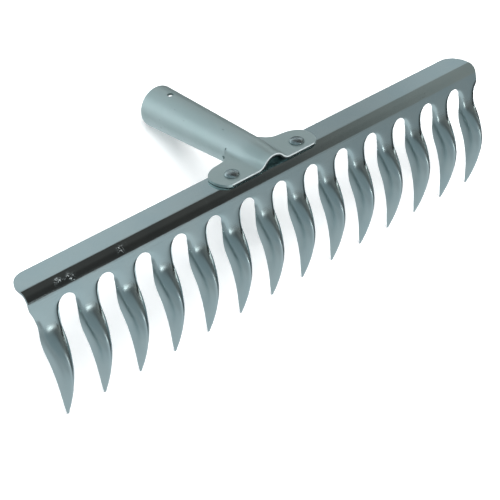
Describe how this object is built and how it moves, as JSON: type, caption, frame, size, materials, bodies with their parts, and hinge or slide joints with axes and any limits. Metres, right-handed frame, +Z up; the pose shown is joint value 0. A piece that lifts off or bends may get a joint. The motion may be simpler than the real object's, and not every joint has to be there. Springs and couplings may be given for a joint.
{
  "type": "garden rake head",
  "caption": "Pressed steel garden rake head: a toothed blade folded from one sheet, with a rolled handle socket whose two ears are riveted to its flange.",
  "frame": {"origin": "centre of the bounding box in plan, on the plane that the tine tips and the socket's lower rear rim rest on", "axes": "+X along the row of tines, +Y back towards the handle, +Z up; the head lies at rest on its fourteen tine tips and the socket's rear rim"},
  "size_m": [0.3714, 0.1598, 0.0821],
  "materials": {
    "blade_steel": "smooth glossy grey-blue protective coating over pressed sheet steel",
    "socket_steel": "satin grey protective coating over rolled sheet steel",
    "rivet_steel": "upset steel rivet under the same grey coating"
  },
  "bodies": {
    "root": {"blade": "blade_steel", "socket": "socket_steel", "rivet_left": "rivet_steel", "rivet_right": "rivet_steel"}
  },
  "joints": []
}
